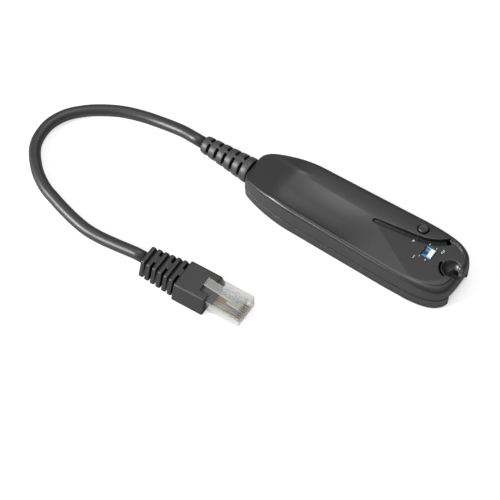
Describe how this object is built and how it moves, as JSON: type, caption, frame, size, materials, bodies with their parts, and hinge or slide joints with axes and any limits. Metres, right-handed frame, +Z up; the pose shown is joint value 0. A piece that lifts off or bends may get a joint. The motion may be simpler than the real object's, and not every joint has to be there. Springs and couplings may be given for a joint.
{
  "type": "configuration loader",
  "caption": "Wand-shaped hand-held loader with a start button, slide selector, lanyard hole and recessed label face, on a short captive lead with a modular network plug",
  "frame": {"origin": "under the centre of the housing, on the surface it lies on", "axes": "+X runs along the housing from its lead to its nose, +Y is the side with the start button, +Z is up out of the label face"},
  "size_m": [0.1791, 0.0786, 0.0141],
  "materials": {
    "housing_lower": "fine-grained black moulding",
    "housing_upper": "fine-grained black moulding",
    "screws": "zinc plated",
    "board": "green solder mask",
    "chip_body": "black epoxy",
    "crystal_can": "satin can",
    "capacitor_body": "ceramic",
    "header_body": "moulded nylon",
    "wire_insulation": "coloured insulation",
    "switch_body": "black moulding",
    "plunger": "natural nylon",
    "button": "satin black",
    "selector_body": "blue moulding",
    "selector_slider": "white moulding",
    "relief": "matt black soft moulding",
    "cord_jacket": "satin dark grey jacket",
    "boot": "satin black soft moulding",
    "clear_plastic": "clear polycarbonate",
    "contacts": "gold plated",
    "conductors": "coloured insulation"
  },
  "bodies": {
    "housing": {"bottom_cover": "housing_lower", "top_cover": "housing_upper", "housing_screws": "screws", "circuit_board": "board", "microcontroller": "chip_body", "memory_chip": "chip_body", "line_driver": "chip_body", "regulator": "chip_body", "crystal": "crystal_can", "capacitors": "capacitor_body", "lead_header": "header_body", "lead_wires": "wire_insulation", "button_switch": "switch_body", "selector_switch": "selector_body", "cord_relief": "relief", "cord": "cord_jacket", "plug_boot": "boot", "plug_body": "clear_plastic", "plug_contacts": "contacts", "plug_wires": "conductors"},
    "button": {"start_button": "button", "switch_plunger": "plunger"},
    "selector": {"selector_knob": "selector_slider"},
    "latch": {"plug_latch": "clear_plastic"}
  },
  "joints": [
    {"name": "start_button_press", "type": "slide", "parent": "housing", "child": "button", "axis": [0, 0, -1], "range_m": [0, 0.0005], "stiffness_N_per_m": 600},
    {"name": "selector_slide", "type": "slide", "parent": "housing", "child": "selector", "axis": [-1, 0, 0], "range_m": [0, 0.0022]},
    {"name": "latch_press", "type": "hinge", "parent": "housing", "child": "latch", "pos_m": [-0.01481, -0.05455, 0.0079], "axis": [0.0314, -0.9995, 0], "range_deg": [0, 8], "stiffness_Nm_per_rad": 0.2}
  ]
}
